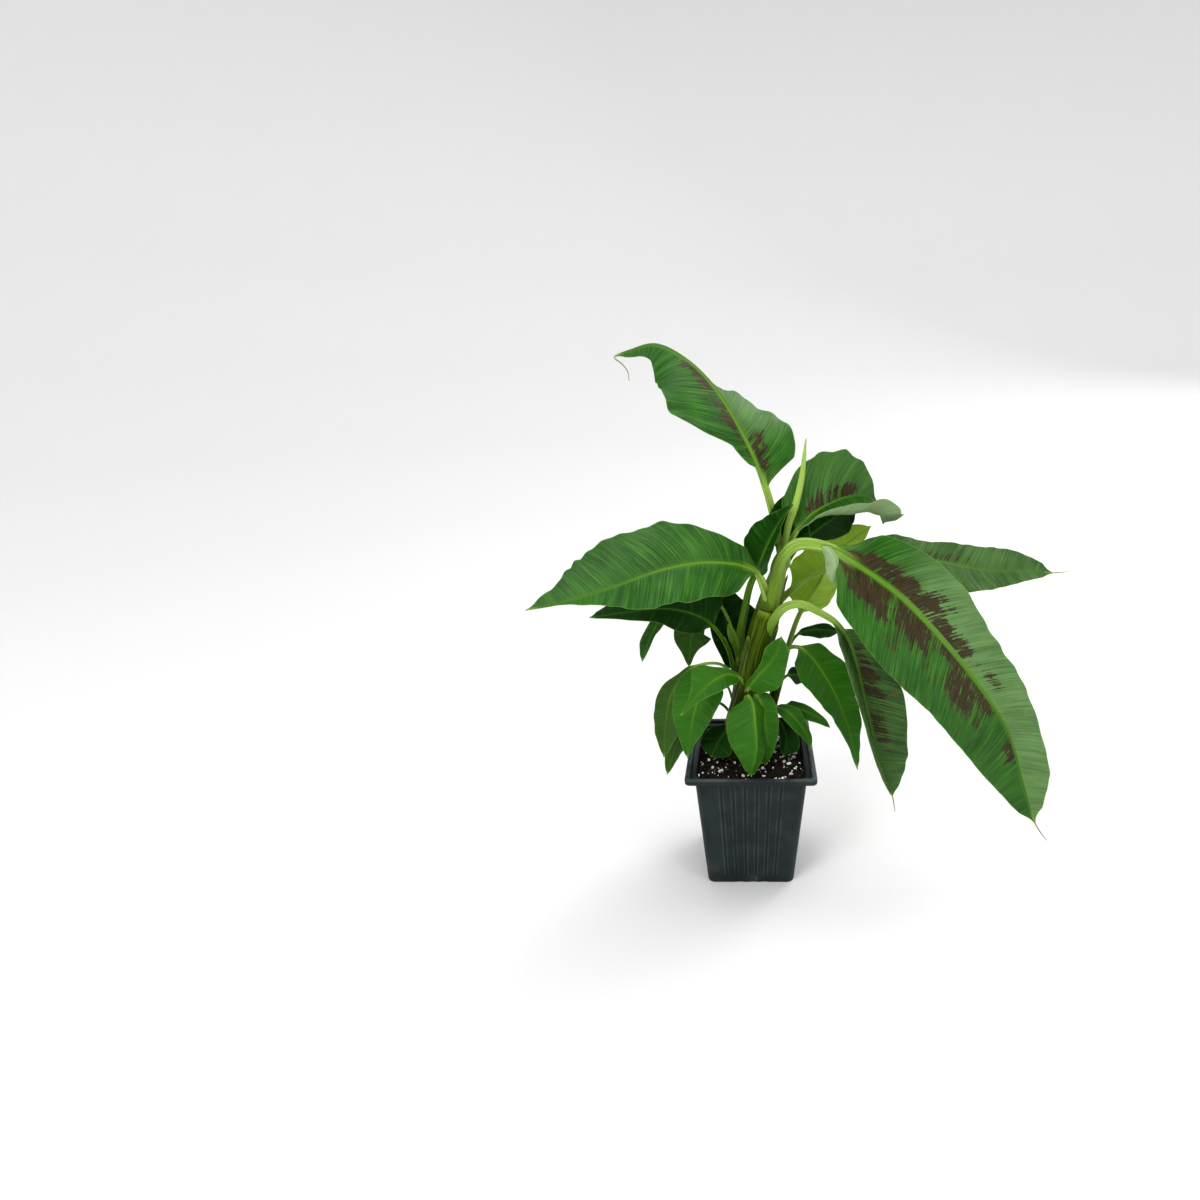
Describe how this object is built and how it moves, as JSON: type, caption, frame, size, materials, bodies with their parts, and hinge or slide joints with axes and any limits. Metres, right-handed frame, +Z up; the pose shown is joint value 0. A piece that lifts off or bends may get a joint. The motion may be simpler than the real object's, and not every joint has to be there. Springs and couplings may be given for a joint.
{
  "type": "potted dwarf cavendish banana",
  "caption": "Young dwarf cavendish banana plant with maroon-marked leaves, in a tapered square nursery pot filled with soil, standing on the pot's flat base.",
  "frame": {"origin": "middle of the pot's flat underside", "axes": "+Z up the pot and the plant; +X to the right as the plant is seen from its front, where the largest leaf hangs; -Y toward the front"},
  "size_m": [0.4141, 0.1313, 0.4221],
  "materials": {
    "pot_plastic": "satin moulded plastic, dark blue-grey",
    "potting_soil": "moist dark peat with white perlite grains and bark",
    "stem": "smooth overlapping leaf sheaths, yellow-green",
    "leaf": "waxy green blade with fine side veins, some with maroon patches",
    "young_leaf": "pale lime-green young leaf, softly waxy"
  },
  "bodies": {
    "root": {"leaf_big_right": "leaf", "leaf_front_hanging": "leaf", "leaf_front_left": "leaf", "leaf_front_second": "leaf", "leaf_front_upright": "leaf", "leaf_in_pot_left": "leaf", "leaf_in_pot_right": "leaf", "leaf_left_hanging_fourth": "leaf", "leaf_left_hanging_second": "leaf", "leaf_left_hanging_third": "leaf", "leaf_left_trough": "leaf", "leaf_low_right": "leaf", "leaf_low_right_rear": "leaf", "leaf_narrow_top": "leaf", "leaf_rear_dark": "leaf", "leaf_rear_drooping": "leaf", "leaf_rear_left": "leaf", "leaf_rear_left_small": "leaf", "leaf_rear_left_tip": "leaf", "leaf_rear_right": "leaf", "leaf_rear_shaded": "leaf", "leaf_right_drooping": "leaf", "leaf_saddle": "leaf", "leaf_sheath_tip": "leaf", "leaf_small_behind_right": "leaf", "leaf_small_left": "leaf", "leaf_small_low_right": "leaf", "leaf_spear": "young_leaf", "leaf_top": "leaf", "leaf_young": "young_leaf", "left_stem": "stem", "main_stem": "stem", "pot": "pot_plastic", "rear_stem": "stem", "soil": "potting_soil"}
  },
  "joints": []
}
